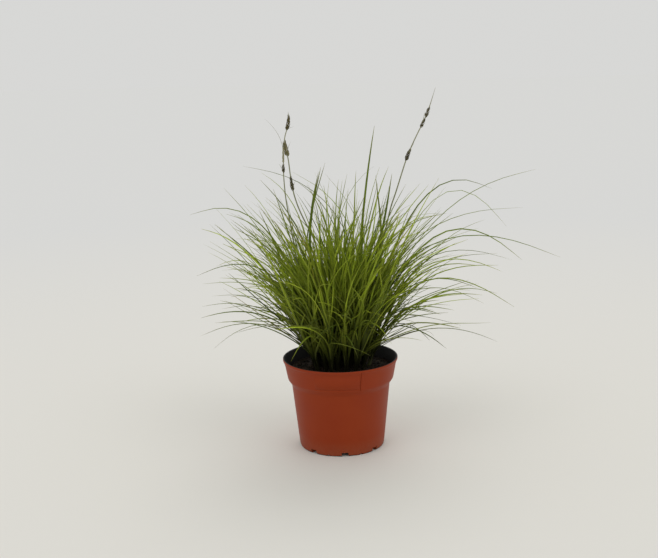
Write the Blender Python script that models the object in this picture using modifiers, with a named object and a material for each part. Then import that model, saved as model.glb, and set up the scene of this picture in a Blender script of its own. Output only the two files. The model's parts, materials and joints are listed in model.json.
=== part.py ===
"""A potted sedge: a clump of fine arching leaves with three flower stems, in a round nursery pot.

The pot stands on z = 0 with its axis on Z, and -Y is the side that faces the viewer. The clump is
built shoot by shoot. A shoot is a short sheath rooted in the compost, with the leaves that grow out
of it, and each flower stem carries its flower heads.
"""
import math
import random

import bmesh
import bpy
import numpy as np
from mathutils import Matrix, Vector, noise

MM = 0.001
GAP = 0.3 * MM

# the pot
POT_HEIGHT = 89 * MM
RIM_RADIUS = 56.5 * MM
BAND_RADIUS = 52.4 * MM
SHOULDER_RADIUS = 48.4 * MM
FOOT_RADIUS = 42 * MM
BAND_FOOT = 70 * MM
SHOULDER = 63 * MM
WALL = 1.1 * MM
FLOOR_UNDERSIDE = 2.4 * MM
FOOT_RING_WIDTH = 6 * MM
PAD_RADIUS = 9 * MM
POT_SIDES = 40
DRAIN_COUNT = 8
DRAIN_TURN = 3
DRAIN_WIDTH = 6.5 * MM
DRAIN_HEIGHT = 3.9 * MM

# the compost
SOIL_TOP = 77 * MM
SOIL_CROWN = 2.0 * MM
SOIL_LUMP = 1.6 * MM
SOIL_LUMP_SPAN = 9 * MM
SOIL_SIDES = 20

# the shoots
SHOOT_COUNT = 36
CROWN_RADIUS = 28 * MM
GOLDEN_ANGLE = 137.508
OUTER_LEAN = 17.0
LEAVES_PER_SHOOT = 5
ROOTED = 4 * MM
SHEATH_LENGTH = 14 * MM
SHEATH_FOOT_RADIUS = 2.1 * MM
SHEATH_TOP_RADIUS = 1.7 * MM
COLLAR_RISE = 7 * MM
COLLAR_SPREAD = 2.5 * MM

# the leaves
LEAF_WIDTH = 2.1 * MM
LEAF_KEEL = 0.35
LEAF_TAPER = (0.85, 1.0, 0.95, 0.8, 0.55, 0.2)
SHORT_LEAF_TAPER = (0.85, 1.0, 0.85, 0.6, 0.2)
CLEARANCE = 0.35 * MM
WITHIN_SHOOT = 0.72
TRIES = 400
SEED = 29

# how a short leaf grows, with its ranges as (least, most) or (least, most, usual): it splays from its
# shoot by up to LEAF_SPLAY degrees, and past its stiff share it turns aside by about LEAF_SCATTER degrees
# and droops. Its tip stays under a ceiling and within a reach of the pot's axis.
LEAF_SPLAY = 17
LEAF_LENGTHS = (105 * MM, 228 * MM, 163 * MM)
LEAF_STIFFNESS = (0.45, 0.7)
LEAF_SCATTER = 32
LEAF_DROOPS = (5, 92, 34)
LEAF_CEILING = 266 * MM
LEAF_REACH = 150 * MM
LEAF_RETRY = 0.996

# the long leaves that stand out of the clump, each as the bend it rises to and its tip, in millimetres
LONG_LEAVES = [
    ((72, 28, 303), (158, 56, 244)),
    ((92, 32, 328), (173, 60, 205)),
    ((74, 12, 253), (194, 20, 266)),
    ((25, -28, 230), (99, -50, 235)),
    ((37, 0, 236), (99, 0, 226)),
    ((30, 13, 242), (105, 20, 225)),
    ((49, 28, 238), (188, 50, 225)),
    ((64, -12, 263), (211, -20, 186)),
    ((90, 18, 276), (184, 30, 175)),
    ((73, 0, 220), (159, 0, 170)),
    ((62, -24, 232), (161, -42, 189)),
    ((70, -7, 216), (170, -10, 136)),
    ((72, -22, 159), (131, -40, 167)),
    ((95, 8, 172), (156, 10, 146)),
    ((66, 4, 194), (135, 8, 154)),
    ((78, -14, 166), (125, -24, 157)),
    ((83, -19, 131), (89, -30, 117)),
    ((66, 17, 186), (147, 30, 131)),
    ((66, 4, 145), (111, 10, 133)),
    ((28, 12, 143), (125, 20, 105)),
    ((47, -12, 110), (74, -20, 131)),
    ((62, 10, 138), (90, 18, 98)),
    ((27, 15, 251), (38, 20, 312)),
    ((-15, 20, 251), (37, 40, 274)),
    ((-58, 28, 270), (-148, 50, 226)),
    ((-26, 12, 179), (-88, 20, 240)),
    ((-78, 0, 180), (-123, 4, 223)),
    ((-47, 5, 223), (-107, 8, 232)),
    ((-73, 9, 211), (-119, 12, 180)),
    ((-58, -9, 194), (-111, -16, 181)),
    ((-66, -17, 185), (-114, -30, 228)),
    ((-16, 10, 209), (-74, 20, 263)),
    ((41, 38, 261), (-94, 70, 272)),
    ((-87, -12, 144), (-109, -20, 167)),
    ((-77, -26, 135), (-107, -40, 157)),
    ((-59, 18, 118), (-101, 30, 136)),
    ((-87, -6, 160), (-107, -12, 148)),
    ((-79, 2, 149), (-107, 0, 175)),
    ((-74, 11, 151), (-139, 20, 132)),
    ((-69, -32, 153), (-129, -60, 128)),
    ((-71, -16, 158), (-119, -30, 112)),
    ((-41, 27, 171), (-139, 50, 153)),
    ((-60, 32, 212), (-144, 60, 163)),
    ((-34, -4, 170), (-60, -10, 256)),
    ((-24, -62, 150), (-44, -96, 112)),
    ((54, 16, 200), (-10, 30, 264)),
    ((46, 31, 229), (-44, 60, 263)),
    ((-49, 3, 172), (-10, 0, 277)),
    ((-39, -7, 203), (-17, -10, 272)),
    ((-42, 7, 182), (-14, 10, 272)),
    ((22, 27, 226), (-40, 40, 259)),
    ((51, -8, 177), (38, -10, 267)),
    ((38, 11, 173), (54, 20, 267)),
    ((27, 4, 174), (46, 5, 246)),
    ((35, 20, 193), (54, 30, 251)),
    ((35, -11, 229), (53, -14, 248)),
    ((-12, -36, 168), (31, -50, 156)),
    ((6, -38, 160), (-37, -58, 131)),
    ((16, -42, 156), (-30, -64, 118)),
    ((20, -29, 136), (-17, -40, 148)),
    ((43, -30, 113), (69, -50, 135)),
    ((2, -62, 148), (14, -90, 112)),
    ((24, -50, 160), (44, -96, 126)),
]

# the flower stems, each as its route in millimetres and its flower heads as (from, to, radius), where
# from and to are heights above the pot's foot
FLOWER_STEMS = {
    "flower_stem_right": (
        [(17, 8, 73), (30, 10, 140), (43, 9, 195), (52, 8, 234), (57, 8, 247), (65, 8, 272),
         (69.5, 8, 285), (77.5, 8, 302), (86.5, 8, 319), (91, 8, 331), (96, 8, 347)],
        [(278.5, 290.5, 1.9), (309.5, 318.4, 1.6), (319, 328.5, 1.7)]),
    "flower_stem_left": (
        [(-0.5, 8.5, 73), (-6, 7, 120), (-13, 5, 170), (-22, 4, 205), (-29, 3, 219), (-37, 2, 237),
         (-41.5, 2, 253), (-43.5, 2, 268), (-45, 2, 286), (-49, 2, 301), (-45, 2, 312),
         (-42.9, 2, 322), (-43.6, 2, 328)],
        [(253, 267.5, 1.7), (286, 301, 2.5), (310.5, 325.5, 1.8)]),
    "flower_stem_left_short": (
        [(-24, -2, 73), (-34, -3, 140), (-41, -4, 195), (-45.4, -4, 227), (-48.4, -4, 246),
         (-49.8, -4, 270), (-49.3, -4, 285), (-49.2, -4, 300)],
        [(271, 279, 1.5), (280.5, 295.5, 0.9)]),
}
STEM_FOOT_RADIUS = 1.1 * MM
STEM_TIP_RADIUS = 0.5 * MM
STEM_SIDES = 5


def start_afresh():
    """Empty the file and return one collection for the model and one for its cutters."""
    for thing in list(bpy.data.objects):
        bpy.data.objects.remove(thing, do_unlink=True)
    homes = []
    for name in ("potted_sedge", "cutters"):
        home = bpy.data.collections.new(name)
        bpy.context.scene.collection.children.link(home)
        homes.append(home)
    return homes


def material(name, colour, roughness):
    made = bpy.data.materials.new(name)
    made.use_nodes = True
    shader = made.node_tree.nodes["Principled BSDF"]
    shader.inputs["Base Color"].default_value = (*colour, 1)
    shader.inputs["Roughness"].default_value = roughness
    shader.inputs["Metallic"].default_value = 0
    return made


def add_object(name, bm, home, finish=None, smooth=False):
    mesh = bpy.data.meshes.new(name)
    bm.to_mesh(mesh)
    bm.free()
    if smooth:
        mesh.shade_smooth()
        mesh.set_sharp_from_angle(angle=math.radians(40))
    thing = bpy.data.objects.new(name, mesh)
    if finish:
        mesh.materials.append(finish)
    home.objects.link(thing)
    return thing


def as_cutter(thing):
    thing.hide_render = True
    thing.display_type = "WIRE"
    return thing


def cut(thing, cutter):
    boolean = thing.modifiers.new("cut_" + cutter.name, "BOOLEAN")
    boolean.operation = "DIFFERENCE"
    boolean.solver = "EXACT"
    boolean.object = cutter


def pot_outside():
    """The pot's outer profile from the foot ring up to the lip, as (radius, height)."""
    return [
        (FOOT_RADIUS - 1.0 * MM, 0),
        (FOOT_RADIUS, 0.9 * MM),
        (SHOULDER_RADIUS, SHOULDER),
        (SHOULDER_RADIUS + 0.9 * MM, SHOULDER + 2.8 * MM),
        (BAND_RADIUS - 0.7 * MM, BAND_FOOT - 1.6 * MM),
        (BAND_RADIUS, BAND_FOOT + 0.6 * MM),
        (RIM_RADIUS - 0.7 * MM, POT_HEIGHT - 3.4 * MM),
        (RIM_RADIUS, POT_HEIGHT - 2.6 * MM),
        (RIM_RADIUS, POT_HEIGHT - 0.7 * MM),
        (RIM_RADIUS - 0.6 * MM, POT_HEIGHT),
    ]


def pot_inside():
    """The pot's inner profile from the lip down to the floor, as (radius, height)."""
    return [
        (RIM_RADIUS - WALL - 0.5 * MM, POT_HEIGHT - 0.6 * MM),
        (BAND_RADIUS - WALL, BAND_FOOT + 1.0 * MM),
        (SHOULDER_RADIUS + 0.9 * MM - WALL, SHOULDER + 3.6 * MM),
        (SHOULDER_RADIUS - WALL, SHOULDER + 0.4 * MM),
        (FOOT_RADIUS - WALL + 0.1 * MM, FLOOR_UNDERSIDE + WALL + 1.2 * MM),
        (FOOT_RADIUS - WALL - 1.0 * MM, FLOOR_UNDERSIDE + WALL),
    ]


def profile_object(name, points, home, finish, steps):
    """A closed turned body: the profile runs from the axis at the top to the axis at the bottom."""
    bm = bmesh.new()
    corners = [bm.verts.new((radius, 0, height)) for radius, height in points]
    for first, second in zip(corners, corners[1:]):
        bm.edges.new((first, second))
    turned = add_object(name, bm, home, finish)
    screw = turned.modifiers.new("turn", "SCREW")
    screw.steps = steps
    screw.render_steps = steps
    screw.use_merge_vertices = True
    screw.merge_threshold = 0.02 * MM
    screw.use_normal_calculate = True
    screw.use_smooth_shade = False
    return turned


def make_pot(home, cutters, finish):
    """Thin moulded wall with a flared band, standing on a notched foot ring and a low centre pad."""
    ring = FOOT_RADIUS - FOOT_RING_WIDTH
    underside = [
        (ring, 0),
        (ring - 0.7 * MM, FLOOR_UNDERSIDE),
        (PAD_RADIUS + 0.7 * MM, FLOOR_UNDERSIDE),
        (PAD_RADIUS, 0),
        (0, 0),
    ]
    # from the middle of the floor outwards, up the inside, over the lip and down the outside
    points = [(0, FLOOR_UNDERSIDE + WALL), *reversed(pot_inside()), *reversed(pot_outside()), *underside]
    pot = profile_object("pot", points, home, finish, POT_SIDES)
    bm = bmesh.new()
    for k in range(DRAIN_COUNT):
        angle = math.radians(360 / DRAIN_COUNT * k + DRAIN_TURN)
        turn = Matrix.Rotation(angle, 4, "Z")
        shift = Matrix.Translation((FOOT_RADIUS - 1.5 * MM, 0, DRAIN_HEIGHT / 2 - 1 * MM))
        size = Matrix.Diagonal((11 * MM, DRAIN_WIDTH, DRAIN_HEIGHT + 2 * MM, 1))
        bmesh.ops.create_cube(bm, size=1, matrix=turn @ shift @ size)
    cut(pot, as_cutter(add_object("drain_cutters", bm, cutters)))
    return pot


def soil_outline():
    """The plug of compost, a small gap inside the pot's wall and floor, as (radius, height)."""
    floor = FLOOR_UNDERSIDE + WALL + GAP
    points = []
    for radius, height in reversed(pot_inside()[1:]):
        points.append((radius - GAP * 1.4, max(height, floor)))
    points[0] = (points[0][0], floor)
    low, high = pot_inside()[1], pot_inside()[0]
    share = (SOIL_TOP - SOIL_LUMP - low[1]) / (high[1] - low[1])
    points.append((low[0] + share * (high[0] - low[0]) - GAP * 1.4, SOIL_TOP - SOIL_LUMP))
    return [(0, floor), *points]


def lump(x, y):
    """The uneven top of the compost, highest round the middle of the clump."""
    spot = Vector((x, y, 0)) / SOIL_LUMP_SPAN
    away = min(1, math.hypot(x, y) / (RIM_RADIUS - 4 * MM))
    return SOIL_CROWN * (1 - away * away) - 0.4 * MM + SOIL_LUMP * 0.6 * noise.noise(spot)


def make_soil(home, cutters, frames, finish):
    outline = soil_outline()
    edge = outline[-1][0]
    points = outline + [(edge * share, SOIL_TOP) for share in (0.72, 0.36, 0.0)]
    bm = bmesh.new()
    corners = [bm.verts.new((radius, 0, height)) for radius, height in points]
    edges = [bm.edges.new(pair) for pair in zip(corners, corners[1:])]
    bmesh.ops.spin(bm, geom=corners + edges, cent=(0, 0, 0), axis=(0, 0, 1), angle=2 * math.pi,
                   steps=SOIL_SIDES, use_merge=True)
    bmesh.ops.remove_doubles(bm, verts=bm.verts, dist=0.02 * MM)
    for vert in bm.verts:
        if vert.co.z > SOIL_TOP - 0.1 * MM:
            vert.co.z += lump(vert.co.x, vert.co.y)
    bmesh.ops.recalc_face_normals(bm, faces=bm.faces)
    soil = add_object("soil", bm, home, finish)
    bm = bmesh.new()
    for frame, turn in frames:
        radius = SHEATH_FOOT_RADIUS + 1.3 * GAP
        sheath_cone(bm, frame, turn, radius, radius, ROOTED + GAP, SHEATH_LENGTH)
    for route, heads in FLOWER_STEMS.values():
        path = np.array(route) * MM
        aim = (path[1] - path[0]) / np.linalg.norm(path[1] - path[0])
        radius = STEM_FOOT_RADIUS + 1.3 * GAP
        cone_between(bm, path[0] - aim * GAP, path[0] + aim * SHEATH_LENGTH, radius, radius)
    cut(soil, as_cutter(add_object("socket_cutters", bm, cutters)))
    return soil


def along(azimuth, elevation):
    """Unit vector at an angle round the pot and an angle above the level, both in degrees."""
    a, e = math.radians(azimuth), math.radians(elevation)
    return np.array([math.cos(e) * math.cos(a), math.cos(e) * math.sin(a), math.sin(e)])


def unit(vector):
    return vector / np.linalg.norm(vector)


def arch(foot, bend, tip, count):
    """Points on the smooth arch that leaves foot towards bend and ends at tip."""
    t = np.linspace(0, 1, count)[:, None]
    return (1 - t) ** 2 * foot + 2 * t * (1 - t) * bend + t * t * tip


def gaps_between(path, starts, ends):
    """Least distance between each stretch of the path and each of the other stretches."""
    p, d = path[:-1, None], (path[1:] - path[:-1])[:, None]
    q, g = starts[None], (ends - starts)[None]
    r = p - q
    dd, gg, dg = (d * d).sum(-1), (g * g).sum(-1), (d * g).sum(-1)
    dr, gr = (d * r).sum(-1), (g * r).sum(-1)
    s = np.clip((dg * gr - dr * gg) / np.maximum(dd * gg - dg * dg, 1e-18), 0, 1)
    t = np.clip((dg * s + gr) / gg, 0, 1)
    s = np.clip((dg * t - dr) / dd, 0, 1)
    apart = r + s[..., None] * d - t[..., None] * g
    return np.sqrt((apart * apart).sum(-1))


class Room:
    """The stretches of sheath, stem and leaf that already stand, with their half widths."""

    def __init__(self):
        self.starts = np.zeros((0, 3))
        self.ends = np.zeros((0, 3))
        self.halves = np.zeros(0)
        self.owners = np.zeros(0, int)
        self.nearness = np.zeros(0)

    def add(self, path, halves, owner, nearness):
        """nearness is the share of the usual distance that leaves of the same shoot keep to it."""
        count = len(path) - 1
        self.starts = np.vstack([self.starts, path[:-1]])
        self.ends = np.vstack([self.ends, path[1:]])
        self.halves = np.append(self.halves, np.maximum(halves[:-1], halves[1:]))
        self.owners = np.append(self.owners, np.full(count, owner))
        self.nearness = np.append(self.nearness, np.full(count, nearness))

    def fits(self, path, halves, owner):
        need = np.maximum(halves[:-1], halves[1:])[:, None] + self.halves[None] + CLEARANCE
        need = np.where(self.owners == owner, need * self.nearness, need)
        return bool((gaps_between(path, self.starts, self.ends) >= need).all())


def shoot_frames():
    """Each shoot's foot on the compost, its own axis, and two directions across it."""
    frames = []
    for i in range(SHOOT_COUNT):
        out = math.sqrt((i + 0.5) / SHOOT_COUNT)
        azimuth = i * GOLDEN_ANGLE
        foot = along(azimuth, 0) * CROWN_RADIUS * out + np.array([0, 0, SOIL_TOP])
        axis = along(azimuth, 90 - OUTER_LEAN * out ** 1.5)
        side = np.cross(np.array([0, 0, 1.0]), along(azimuth, 0))
        frames.append((foot, axis, np.cross(side, axis), side))
    return frames


def collars(frame, turn):
    """Where each leaf of a shoot leaves its sheath, and the way that it faces."""
    foot, axis, u, v = frame
    found = []
    for k in range(LEAVES_PER_SHOOT):
        angle = turn + 2 * math.pi * (k + 0.5) / LEAVES_PER_SHOOT
        face = math.cos(angle) * u + math.sin(angle) * v
        found.append((foot + axis * (SHEATH_LENGTH + COLLAR_RISE) + face * COLLAR_SPREAD, face))
    return found


def random_leaf(axis, collar, face, dice, shrink):
    """The bend and tip of a leaf that rises from its sheath and bows over outwards."""
    splay = math.radians(dice.uniform(0, LEAF_SPLAY))
    rise = axis * math.cos(splay) + face * math.sin(splay)
    length = dice.triangular(*LEAF_LENGTHS) * shrink
    share = dice.uniform(*LEAF_STIFFNESS)
    height = math.degrees(math.asin(rise[2]))
    azimuth = math.degrees(math.atan2(rise[1], rise[0])) + dice.gauss(0, LEAF_SCATTER)
    droop = dice.triangular(*LEAF_DROOPS)
    bend = collar + rise * length * share
    return bend, bend + along(azimuth, height - droop) * length * (1 - share)


def best_collars(bend, frames, spots, leaves):
    """The free collars that a long leaf could spring from, the likeliest first.

    It springs from a shoot about a third of the way out to its bend, on a side that faces the bend.
    """
    lean = (bend - np.array([0, 0, SOIL_TOP])) / 3
    want = lean / max(1.0, math.hypot(lean[0], lean[1]) / (CROWN_RADIUS * 0.85))
    ranked = []
    for i, row in enumerate(spots):
        for k, (collar, face) in enumerate(row):
            if leaves[i][k] is None:
                facing = float(unit(bend - collar) @ face)
                away = math.hypot(*(frames[i][0][:2] - want[:2])) / MM
                ranked.append((away - 6 * facing + 40 * max(0, -0.02 - facing), i, k))
    ranked.sort()
    return ranked[:24]


def place_long_leaf(bend, tip, frames, spots, leaves, room):
    """Give a long leaf the first free collar and the smallest shift in depth that keep it clear."""
    for _, i, k in best_collars(bend, frames, spots, leaves):
        for shift in (0, 6, -6, 12, -12, 18, -18):
            move = np.array([0, shift * MM, 0])
            path = arch(spots[i][k][0], bend + move, tip + move * 1.5, len(LEAF_TAPER))
            halves = np.array(LEAF_TAPER) * LEAF_WIDTH / 2
            if room.fits(path, halves, i):
                room.add(path, halves, i, WITHIN_SHOOT)
                leaves[i][k] = (bend + move, tip + move * 1.5, LEAF_TAPER)
                return


def grow_clump():
    """Frames, turns and leaves of all the shoots, with no leaf touching another."""
    dice = random.Random(SEED)
    frames = shoot_frames()
    turns = [dice.uniform(0, 2 * math.pi) for _ in frames]
    spots = [collars(frame, turn) for frame, turn in zip(frames, turns)]
    room = Room()
    for i, (foot, axis, u, v) in enumerate(frames):
        reach = (-ROOTED, SHEATH_LENGTH, SHEATH_LENGTH + COLLAR_RISE)
        sheath = np.array([foot + axis * distance for distance in reach])
        room.add(sheath, np.array([SHEATH_FOOT_RADIUS, SHEATH_FOOT_RADIUS, COLLAR_SPREAD]), i, 0)
    for n, (route, heads) in enumerate(FLOWER_STEMS.values()):
        room.add(np.array(route) * MM, np.full(len(route), STEM_FOOT_RADIUS * 1.6), -1 - n, 1)
    leaves = [[None] * LEAVES_PER_SHOOT for _ in frames]
    for bend, tip in LONG_LEAVES:
        place_long_leaf(np.array(bend) * MM, np.array(tip) * MM, frames, spots, leaves, room)
    halves = np.array(SHORT_LEAF_TAPER) * LEAF_WIDTH / 2
    for k in range(LEAVES_PER_SHOOT):
        for i, frame in enumerate(frames):
            if leaves[i][k] is None:
                collar, face = spots[i][k]
                for attempt in range(TRIES):
                    bend, tip = random_leaf(frame[1], collar, face, dice, LEAF_RETRY ** attempt)
                    path = arch(collar, bend, tip, len(SHORT_LEAF_TAPER))
                    inside = tip[2] < LEAF_CEILING and math.hypot(tip[0], tip[1]) < LEAF_REACH
                    if inside and room.fits(path, halves, i):
                        room.add(path, halves, i, WITHIN_SHOOT)
                        leaves[i][k] = (bend, tip, SHORT_LEAF_TAPER)
                        break
    return frames, turns, spots, leaves


def cone_between(bm, low, high, low_radius, high_radius, facing=None):
    """A closed tapered prism between two points. Its first corner points towards facing."""
    axis = Vector(high - low)
    z = axis.normalized()
    y = Vector(facing) if facing is not None else z.orthogonal().normalized()
    x = y.cross(z)
    place = Matrix((x, y, z)).transposed().to_4x4()
    place.translation = (Vector(low) + Vector(high)) / 2
    return bmesh.ops.create_cone(bm, cap_ends=True, segments=STEM_SIDES, radius1=low_radius,
                                 radius2=high_radius, depth=axis.length, matrix=place)["verts"]


def sheath_cone(bm, frame, turn, low_radius, high_radius, below, above):
    foot, axis, u, v = frame
    facing = math.cos(turn) * u + math.sin(turn) * v
    return cone_between(bm, foot - axis * below, foot + axis * above, low_radius, high_radius, facing)


def face_towards(bm, direction):
    """The face that looks most nearly in the direction."""
    return max(bm.faces, key=lambda face: face.normal.dot(direction))


def extrude_through(bm, face, rings):
    """Extrude one face through rings of places, each ring turned to lie nearest to the one before."""
    for ring in rings:
        face = bmesh.ops.extrude_discrete_faces(bm, faces=[face])["faces"][0]
        before = [vert.co - face.calc_center_median() for vert in face.verts]
        middle = sum((Vector(place) for place in ring), Vector()) / len(ring)
        turns = [ring[n:] + ring[:n] for n in range(len(ring))]
        ring = min(turns, key=lambda turn: sum((Vector(place) - middle - old).length_squared
                                               for place, old in zip(turn, before)))
        for vert, place in zip(face.verts, ring):
            vert.co = Vector(place)
    return face


def blade_rings(collar, face_way, axis, bend, tip, taper):
    """Three corners for each ring of a keeled blade: one edge, the keel, and the other edge.

    A blade leaves its sheath with the keel inwards, and it turns level over its first three stretches.
    """
    path = arch(collar, bend, tip, len(taper))
    slopes = np.gradient(path, axis=0)
    flat = unit(np.cross(face_way, axis))
    level = unit(np.cross(np.array([0, 0, 1.0]), tip - collar + face_way * 1 * MM))
    if level @ flat < 0:
        level = -level
    rings = []
    for n, share in enumerate(taper):
        forward = unit(slopes[n])
        turned = min(1, n / 3)
        across = flat * (1 - turned) + level * turned
        across = unit(across - forward * float(across @ forward))
        inward = np.cross(forward, across)
        half = share * LEAF_WIDTH / 2
        fold = inward * half * LEAF_KEEL
        rings.append([path[n] - across * half + fold, path[n] - fold, path[n] + across * half + fold])
    return rings


def make_shoot(name, home, frame, turn, spots, leaves, finish):
    """One closed body: a five-sided sheath whose top is parted into five leaves."""
    axis = frame[1]
    bm = bmesh.new()
    sheath_cone(bm, frame, turn, SHEATH_FOOT_RADIUS, SHEATH_TOP_RADIUS, ROOTED, SHEATH_LENGTH)
    bm.normal_update()
    parted = bmesh.ops.poke(bm, faces=[face_towards(bm, Vector(axis))])
    middle = parted["verts"][0]
    wedges = list(parted["faces"])
    for (collar, face_way), leaf in zip(spots, leaves):
        wedge = max(wedges, key=lambda w: (w.calc_center_median() - middle.co).dot(Vector(face_way)))
        wedges.remove(wedge)
        if leaf is None:
            continue
        extrude_through(bm, wedge, blade_rings(collar, face_way, axis, *leaf))
    bmesh.ops.triangulate(bm, faces=bm.faces)
    return add_object(name, bm, home, finish)


def height_on(path, height):
    """The point of a rising route at a height."""
    return np.array([np.interp(height, path[:, 2], path[:, axis]) for axis in range(3)])


def stem_stations(route, heads):
    """(height, radius) up a flower stem, swelling at each flower head."""
    low, high = route[0][2], route[-1][2]
    stations = []
    for height in [point[2] for point in route[1:]]:
        if not any(start - 3 < height < end + 3 for start, end, radius in heads):
            share = (height - low) / (high - low)
            stations.append((height, STEM_FOOT_RADIUS + share * (STEM_TIP_RADIUS - STEM_FOOT_RADIUS)))
    for start, end, radius in heads:
        thin = STEM_TIP_RADIUS * 1.3
        stations += [(start, thin), (start + 0.3 * (end - start), radius * MM),
                     (start + 0.65 * (end - start), radius * 0.75 * MM), (end, thin)]
    return sorted(stations)


def make_flower_stem(name, home, route, heads, finish):
    """One closed body: a thin stem that carries its flower heads as swellings."""
    path = np.array(route) * MM
    bm = bmesh.new()
    stations = stem_stations(route, heads)
    first = height_on(path, stations[0][0] * MM)
    cone_between(bm, path[0], first, STEM_FOOT_RADIUS, stations[0][1])
    bm.normal_update()
    top = face_towards(bm, Vector(first - path[0]).normalized())
    corners = [vert.co - Vector(first) for vert in top.verts]
    rings = []
    for height, radius in stations[1:]:
        centre = Vector(height_on(path, height * MM))
        rings.append([centre + corner * radius / stations[0][1] for corner in corners])
    extrude_through(bm, top, rings)
    bmesh.ops.triangulate(bm, faces=bm.faces)
    return add_object(name, bm, home, finish)


def main():
    home, cutters = start_afresh()
    plastic = material("terracotta_plastic", (0.35, 0.07, 0.03), 0.5)
    compost = material("peat_compost", (0.012, 0.009, 0.007), 0.95)
    leaf_green = material("sedge_leaf", (0.16, 0.22, 0.03), 0.45)
    stem_green = material("sedge_flower_stem", (0.12, 0.11, 0.03), 0.6)
    frames, turns, spots, leaves = grow_clump()
    make_pot(home, cutters, plastic)
    make_soil(home, cutters, list(zip(frames, turns)), compost)
    for i, frame in enumerate(frames):
        make_shoot(f"shoot_{i + 1:02d}", home, frame, turns[i], spots[i], leaves[i], leaf_green)
    for name, (route, heads) in FLOWER_STEMS.items():
        make_flower_stem(name, home, route, heads, stem_green)


main()
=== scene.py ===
"""Potted sedge, its finish: pot, compost, leaves and flower stems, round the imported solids.

The pot stands on z = 0 with its axis on Z, and -Y is the side that faces the camera.
"""
import json
import math
import random

import bmesh
import bpy
import numpy as np
from mathutils import Matrix, Vector, noise

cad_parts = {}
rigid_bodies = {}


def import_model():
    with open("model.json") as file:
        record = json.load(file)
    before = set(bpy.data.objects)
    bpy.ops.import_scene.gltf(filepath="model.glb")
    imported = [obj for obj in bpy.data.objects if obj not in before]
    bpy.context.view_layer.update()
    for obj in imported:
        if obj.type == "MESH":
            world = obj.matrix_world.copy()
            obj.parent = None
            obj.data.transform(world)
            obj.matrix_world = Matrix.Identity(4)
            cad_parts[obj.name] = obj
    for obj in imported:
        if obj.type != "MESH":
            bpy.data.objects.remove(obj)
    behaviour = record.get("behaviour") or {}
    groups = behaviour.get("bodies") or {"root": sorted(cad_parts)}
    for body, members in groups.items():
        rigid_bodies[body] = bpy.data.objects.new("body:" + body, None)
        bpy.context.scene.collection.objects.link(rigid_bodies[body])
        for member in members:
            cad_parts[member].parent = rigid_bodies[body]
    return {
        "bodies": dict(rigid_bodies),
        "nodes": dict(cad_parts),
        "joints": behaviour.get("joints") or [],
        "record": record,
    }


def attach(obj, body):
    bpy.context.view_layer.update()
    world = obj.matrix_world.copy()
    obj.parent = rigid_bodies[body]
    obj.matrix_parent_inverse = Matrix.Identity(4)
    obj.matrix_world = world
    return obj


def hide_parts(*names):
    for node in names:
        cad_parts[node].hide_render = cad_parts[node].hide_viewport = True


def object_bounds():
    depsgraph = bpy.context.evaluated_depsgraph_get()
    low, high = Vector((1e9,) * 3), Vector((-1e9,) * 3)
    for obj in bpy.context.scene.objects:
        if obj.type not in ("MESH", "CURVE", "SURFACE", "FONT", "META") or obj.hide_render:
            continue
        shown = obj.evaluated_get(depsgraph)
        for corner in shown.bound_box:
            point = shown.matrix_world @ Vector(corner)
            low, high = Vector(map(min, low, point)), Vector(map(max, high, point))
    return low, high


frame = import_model()

MM = 0.001
solid_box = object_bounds()


# Camera
# It stands where the photographer stood, about a metre in front of the pot and 37 cm above the floor.
# The focal length and the tilt are those that show the pot's rim and foot as they look from there.
FOCAL_PIXELS = 1025
FRAME_PIXELS = 658
SENSOR_WIDTH = 36.0
CAMERA_PLACE = (-9.1 * MM, -976 * MM, 366 * MM)
CAMERA_PITCH = 11.54
CAMERA_ROLL = -1.48

camera_data = bpy.data.cameras.new("camera")
camera_data.sensor_width = SENSOR_WIDTH
camera_data.lens = SENSOR_WIDTH * FOCAL_PIXELS / FRAME_PIXELS
camera_data.clip_start = 10 * MM
camera = bpy.data.objects.new("camera", camera_data)
tilt = Matrix.Rotation(math.radians(90 - CAMERA_PITCH), 4, "X")
roll = Matrix.Rotation(math.radians(CAMERA_ROLL), 4, "Z")
camera.matrix_world = Matrix.Translation(CAMERA_PLACE) @ tilt @ roll
bpy.context.scene.collection.objects.link(camera)
bpy.context.scene.camera = camera


# Studio
# A sheet of matt white paper under the pot, lit from all round, with three broad lamps far off. The
# one behind is the strongest, so the leaves glow a little and the pot's shadow falls to the front.
FLOOR_HALF = 30.0
ROOM_LIGHT = 0.77
SHARP_ANGLE = 50
# the painted light on the paper is full out to the first distance from the pot's axis and gone at the
# second
PAINTED_LIGHT_NEAR, PAINTED_LIGHT_FAR = 250 * MM, 1600 * MM


def linear(hex_colour):
    """The linear red, green and blue of an sRGB colour written as #rrggbb, with alpha 1."""
    parts = [int(hex_colour[i:i + 2], 16) / 255 for i in (1, 3, 5)]
    return tuple(p / 12.92 if p <= 0.04045 else ((p + 0.055) / 1.055) ** 2.4 for p in parts) + (1.0,)


def add_node(tree, kind, inputs=None, **settings):
    """Add a shader node. An input is a value, a #rrggbb colour or the socket that it is linked to.

    A MapRange takes the range from 1 to 2 to that from 3 to 4, each 0 to 1 where it isn't given.
    """
    made = tree.nodes.new("ShaderNode" + kind)
    for name, value in settings.items():
        setattr(made, name, value)
    for name, value in (inputs or {}).items():
        if isinstance(value, bpy.types.NodeSocket):
            tree.links.new(value, made.inputs[name])
        else:
            made.inputs[name].default_value = linear(value) if isinstance(value, str) else value
    return made


def start_material(name):
    """An empty node material. It gives the material, its tree and its output node."""
    made = bpy.data.materials.new(name)
    made.use_nodes = True
    made.node_tree.nodes.clear()
    return made, made.node_tree, add_node(made.node_tree, "OutputMaterial")


def add_piece(name, mesh, *finishes):
    """Put a mesh in the scene as an object with its materials."""
    made = bpy.data.objects.new(name, mesh)
    for finish in finishes:
        mesh.materials.append(finish)
    bpy.context.scene.collection.objects.link(made)
    return made


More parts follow.
